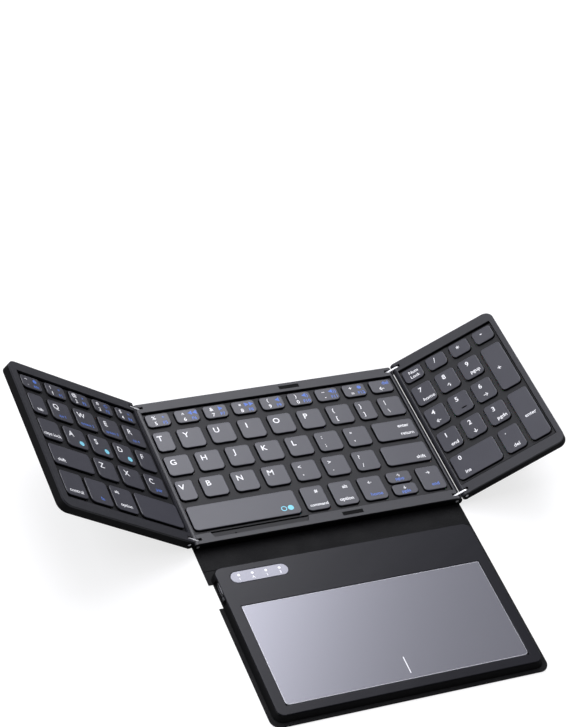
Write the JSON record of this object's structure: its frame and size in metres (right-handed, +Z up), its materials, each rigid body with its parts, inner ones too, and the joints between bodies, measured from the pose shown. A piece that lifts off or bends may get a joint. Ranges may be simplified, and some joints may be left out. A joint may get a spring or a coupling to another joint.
{
  "type": "folding keyboard",
  "caption": "Keyboard that folds in three, with a numeric wing, a letter wing and a touchpad unit on a leather flap.",
  "frame": {"origin": "middle of the underside of the middle panel, on the surface that the keyboard lies on", "axes": "+X right along the key rows, +Y to the back, away from the touchpad, +Z up"},
  "size_m": [0.3155, 0.2309, 0.0613],
  "materials": {
    "leather": "black grained leather, soft sheen",
    "shell": "black fine-textured plastic",
    "frame": "dark grey anodised, fine blasted",
    "key_plate": "dark grey anodised sheet",
    "key_cap": "dark grey satin plastic",
    "circuit": "green solder mask",
    "rubber": "pale silicone",
    "steel": "bright ground steel",
    "magnet": "black coated magnet",
    "cover_plate": "dark gloss plate",
    "touch_glass": "grey satin touch glass, opaque",
    "window": "silver indicator window",
    "battery": "aluminium laminate pouch"
  },
  "bodies": {
    "centre": {"centre_leather": "leather", "centre_shell": "shell", "centre_frame": "frame", "centre_key_plate": "key_plate", "centre_circuit": "circuit", "centre_rubber_domes": "rubber", "centre_screws": "steel", "closing_magnets": "magnet"},
    "left_link": {"left_hinge_bars": "steel", "left_hinge_pins": "steel"},
    "left_wing": {"left_shell": "shell", "left_frame": "frame", "left_key_plate": "key_plate", "left_circuit": "circuit", "left_rubber_domes": "rubber"},
    "right_link": {"right_hinge_bars": "steel", "right_hinge_pins": "steel"},
    "right_wing": {"right_shell": "shell", "right_frame": "frame", "right_key_plate": "key_plate", "right_circuit": "circuit", "right_rubber_domes": "rubber"},
    "flap": {"leather_flap": "leather"},
    "pad": {"pad_leather": "leather", "pad_tray": "shell", "pad_cover_plate": "cover_plate", "control_board": "circuit", "battery": "battery", "usb_port": "steel", "indicator_window": "window"},
    "touchpad": {"touch_glass": "touch_glass", "touch_sensor": "circuit"},
    "switch_knob": {"power_switch": "key_cap"},
    "left_number_keys": {"left_number_keys": "key_cap"},
    "left_upper_keys": {"left_upper_keys": "key_cap"},
    "left_middle_keys": {"left_middle_keys": "key_cap"},
    "left_lower_keys": {"left_lower_keys": "key_cap"},
    "tab_key": {"tab_key": "key_cap"},
    "caps_lock_key": {"caps_lock_key": "key_cap"},
    "left_shift_key": {"left_shift_key": "key_cap"},
    "left_space_key": {"left_space_key": "key_cap"},
    "centre_number_keys": {"centre_number_keys": "key_cap"},
    "centre_upper_keys": {"centre_upper_keys": "key_cap"},
    "centre_middle_keys": {"centre_middle_keys": "key_cap"},
    "centre_lower_keys": {"centre_lower_keys": "key_cap"},
    "backspace_key": {"backspace_key": "key_cap"},
    "enter_key": {"enter_key": "key_cap"},
    "right_shift_key": {"right_shift_key": "key_cap"},
    "right_space_key": {"right_space_key": "key_cap"},
    "left_arrow_key": {"left_arrow_key": "key_cap"},
    "up_arrow_key": {"up_arrow_key": "key_cap"},
    "down_arrow_key": {"down_arrow_key": "key_cap"},
    "right_arrow_key": {"right_arrow_key": "key_cap"},
    "keypad_top_keys": {"keypad_top_keys": "key_cap"},
    "keypad_upper_keys": {"keypad_upper_keys": "key_cap"},
    "keypad_middle_keys": {"keypad_middle_keys": "key_cap"},
    "keypad_lower_keys": {"keypad_lower_keys": "key_cap"},
    "keypad_plus_key": {"keypad_plus_key": "key_cap"},
    "keypad_enter_key": {"keypad_enter_key": "key_cap"},
    "keypad_zero_key": {"keypad_zero_key": "key_cap"}
  },
  "joints": [
    {"name": "left_link_hinge", "type": "hinge", "parent": "centre", "child": "left_link", "pos_m": [-0.0818, 0, 0.0033], "axis": [0, 1, 0], "range_deg": [-32.6, 57.4]},
    {"name": "left_wing_hinge", "type": "hinge", "parent": "left_link", "child": "left_wing", "pos_m": [-0.08744, 0, 0.00691], "axis": [0, 1, 0], "range_deg": [0, 90]},
    {"name": "right_link_hinge", "type": "hinge", "parent": "centre", "child": "right_link", "pos_m": [0.0818, 0, 0.0033], "axis": [0, -1, 0], "range_deg": [-32.6, 57.4]},
    {"name": "right_wing_hinge", "type": "hinge", "parent": "right_link", "child": "right_wing", "pos_m": [0.08744, 0, 0.00691], "axis": [0, -1, 0], "range_deg": [0, 90]},
    {"name": "flap_fold", "type": "hinge", "parent": "centre", "child": "flap", "pos_m": [0, -0.05425, 0.0008], "axis": [-1, 0, 0], "range_deg": [0, 90]},
    {"name": "pad_fold", "type": "hinge", "parent": "flap", "child": "pad", "pos_m": [0, -0.07135, 0.0008], "axis": [-1, 0, 0], "range_deg": [0, 90]},
    {"name": "touchpad_click", "type": "hinge", "parent": "pad", "child": "touchpad", "pos_m": [0, -0.09965, 0.00465], "axis": [1, 0, 0], "range_deg": [0, 0.34], "stiffness_Nm_per_rad": 8, "springref_deg": -0.46},
    {"name": "power_slide", "type": "slide", "parent": "pad", "child": "switch_knob", "axis": [0, -1, 0], "range_m": [0, 0.002]},
    {"name": "left_number_press", "type": "slide", "parent": "left_wing", "child": "left_number_keys", "axis": [0.5388, 0, 0.8425], "range_m": [-0.0012, 0], "stiffness_N_per_m": 1250, "springref_m": 0.0012},
    {"name": "left_upper_press", "type": "slide", "parent": "left_wing", "child": "left_upper_keys", "axis": [0.5388, 0, 0.8425], "range_m": [-0.0012, 0], "stiffness_N_per_m": 1000, "springref_m": 0.0012},
    {"name": "left_middle_press", "type": "slide", "parent": "left_wing", "child": "left_middle_keys", "axis": [0.5388, 0, 0.8425], "range_m": [-0.0012, 0], "stiffness_N_per_m": 1000, "springref_m": 0.0012},
    {"name": "left_lower_press", "type": "slide", "parent": "left_wing", "child": "left_lower_keys", "axis": [0.5388, 0, 0.8425], "range_m": [-0.0012, 0], "stiffness_N_per_m": 1500, "springref_m": 0.0012},
    {"name": "tab_press", "type": "slide", "parent": "left_wing", "child": "tab_key", "axis": [0.5388, 0, 0.8425], "range_m": [-0.0012, 0], "stiffness_N_per_m": 250, "springref_m": 0.0012},
    {"name": "caps_lock_press", "type": "slide", "parent": "left_wing", "child": "caps_lock_key", "axis": [0.5388, 0, 0.8425], "range_m": [-0.0012, 0], "stiffness_N_per_m": 250, "springref_m": 0.0012},
    {"name": "left_shift_press", "type": "slide", "parent": "left_wing", "child": "left_shift_key", "axis": [0.5388, 0, 0.8425], "range_m": [-0.0012, 0], "stiffness_N_per_m": 250, "springref_m": 0.0012},
    {"name": "left_space_press", "type": "slide", "parent": "left_wing", "child": "left_space_key", "axis": [0.5388, 0, 0.8425], "range_m": [-0.0012, 0], "stiffness_N_per_m": 250, "springref_m": 0.0012},
    {"name": "centre_number_press", "type": "slide", "parent": "centre", "child": "centre_number_keys", "axis": [0, 0, 1], "range_m": [-0.0012, 0], "stiffness_N_per_m": 2000, "springref_m": 0.0012},
    {"name": "centre_upper_press", "type": "slide", "parent": "centre", "child": "centre_upper_keys", "axis": [0, 0, 1], "range_m": [-0.0012, 0], "stiffness_N_per_m": 2250, "springref_m": 0.0012},
    {"name": "centre_middle_press", "type": "slide", "parent": "centre", "child": "centre_middle_keys", "axis": [0, 0, 1], "range_m": [-0.0012, 0], "stiffness_N_per_m": 1750, "springref_m": 0.0012},
    {"name": "centre_lower_press", "type": "slide", "parent": "centre", "child": "centre_lower_keys", "axis": [0, 0, 1], "range_m": [-0.0012, 0], "stiffness_N_per_m": 2250, "springref_m": 0.0012},
    {"name": "backspace_press", "type": "slide", "parent": "centre", "child": "backspace_key", "axis": [0, 0, 1], "range_m": [-0.0012, 0], "stiffness_N_per_m": 250, "springref_m": 0.0012},
    {"name": "enter_press", "type": "slide", "parent": "centre", "child": "enter_key", "axis": [0, 0, 1], "range_m": [-0.0012, 0], "stiffness_N_per_m": 250, "springref_m": 0.0012},
    {"name": "right_shift_press", "type": "slide", "parent": "centre", "child": "right_shift_key", "axis": [0, 0, 1], "range_m": [-0.0012, 0], "stiffness_N_per_m": 250, "springref_m": 0.0012},
    {"name": "right_space_press", "type": "slide", "parent": "centre", "child": "right_space_key", "axis": [0, 0, 1], "range_m": [-0.0012, 0], "stiffness_N_per_m": 250, "springref_m": 0.0012},
    {"name": "left_arrow_press", "type": "slide", "parent": "centre", "child": "left_arrow_key", "axis": [0, 0, 1], "range_m": [-0.0012, 0], "stiffness_N_per_m": 250, "springref_m": 0.0012},
    {"name": "up_arrow_press", "type": "slide", "parent": "centre", "child": "up_arrow_key", "axis": [0, 0, 1], "range_m": [-0.0012, 0], "stiffness_N_per_m": 250, "springref_m": 0.0012},
    {"name": "down_arrow_press", "type": "slide", "parent": "centre", "child": "down_arrow_key", "axis": [0, 0, 1], "range_m": [-0.0012, 0], "stiffness_N_per_m": 250, "springref_m": 0.0012},
    {"name": "right_arrow_press", "type": "slide", "parent": "centre", "child": "right_arrow_key", "axis": [0, 0, 1], "range_m": [-0.0012, 0], "stiffness_N_per_m": 250, "springref_m": 0.0012},
    {"name": "keypad_top_press", "type": "slide", "parent": "right_wing", "child": "keypad_top_keys", "axis": [-0.5388, 0, 0.8425], "range_m": [-0.0012, 0], "stiffness_N_per_m": 1000, "springref_m": 0.0012},
    {"name": "keypad_upper_press", "type": "slide", "parent": "right_wing", "child": "keypad_upper_keys", "axis": [-0.5388, 0, 0.8425], "range_m": [-0.0012, 0], "stiffness_N_per_m": 750, "springref_m": 0.0012},
    {"name": "keypad_middle_press", "type": "slide", "parent": "right_wing", "child": "keypad_middle_keys", "axis": [-0.5388, 0, 0.8425], "range_m": [-0.0012, 0], "stiffness_N_per_m": 750, "springref_m": 0.0012},
    {"name": "keypad_lower_press", "type": "slide", "parent": "right_wing", "child": "keypad_lower_keys", "axis": [-0.5388, 0, 0.8425], "range_m": [-0.0012, 0], "stiffness_N_per_m": 1000, "springref_m": 0.0012},
    {"name": "keypad_plus_press", "type": "slide", "parent": "right_wing", "child": "keypad_plus_key", "axis": [-0.5388, 0, 0.8425], "range_m": [-0.0012, 0], "stiffness_N_per_m": 250, "springref_m": 0.0012},
    {"name": "keypad_enter_press", "type": "slide", "parent": "right_wing", "child": "keypad_enter_key", "axis": [-0.5388, 0, 0.8425], "range_m": [-0.0012, 0], "stiffness_N_per_m": 250, "springref_m": 0.0012},
    {"name": "keypad_zero_press", "type": "slide", "parent": "right_wing", "child": "keypad_zero_key", "axis": [-0.5388, 0, 0.8425], "range_m": [-0.0012, 0], "stiffness_N_per_m": 250, "springref_m": 0.0012}
  ]
}
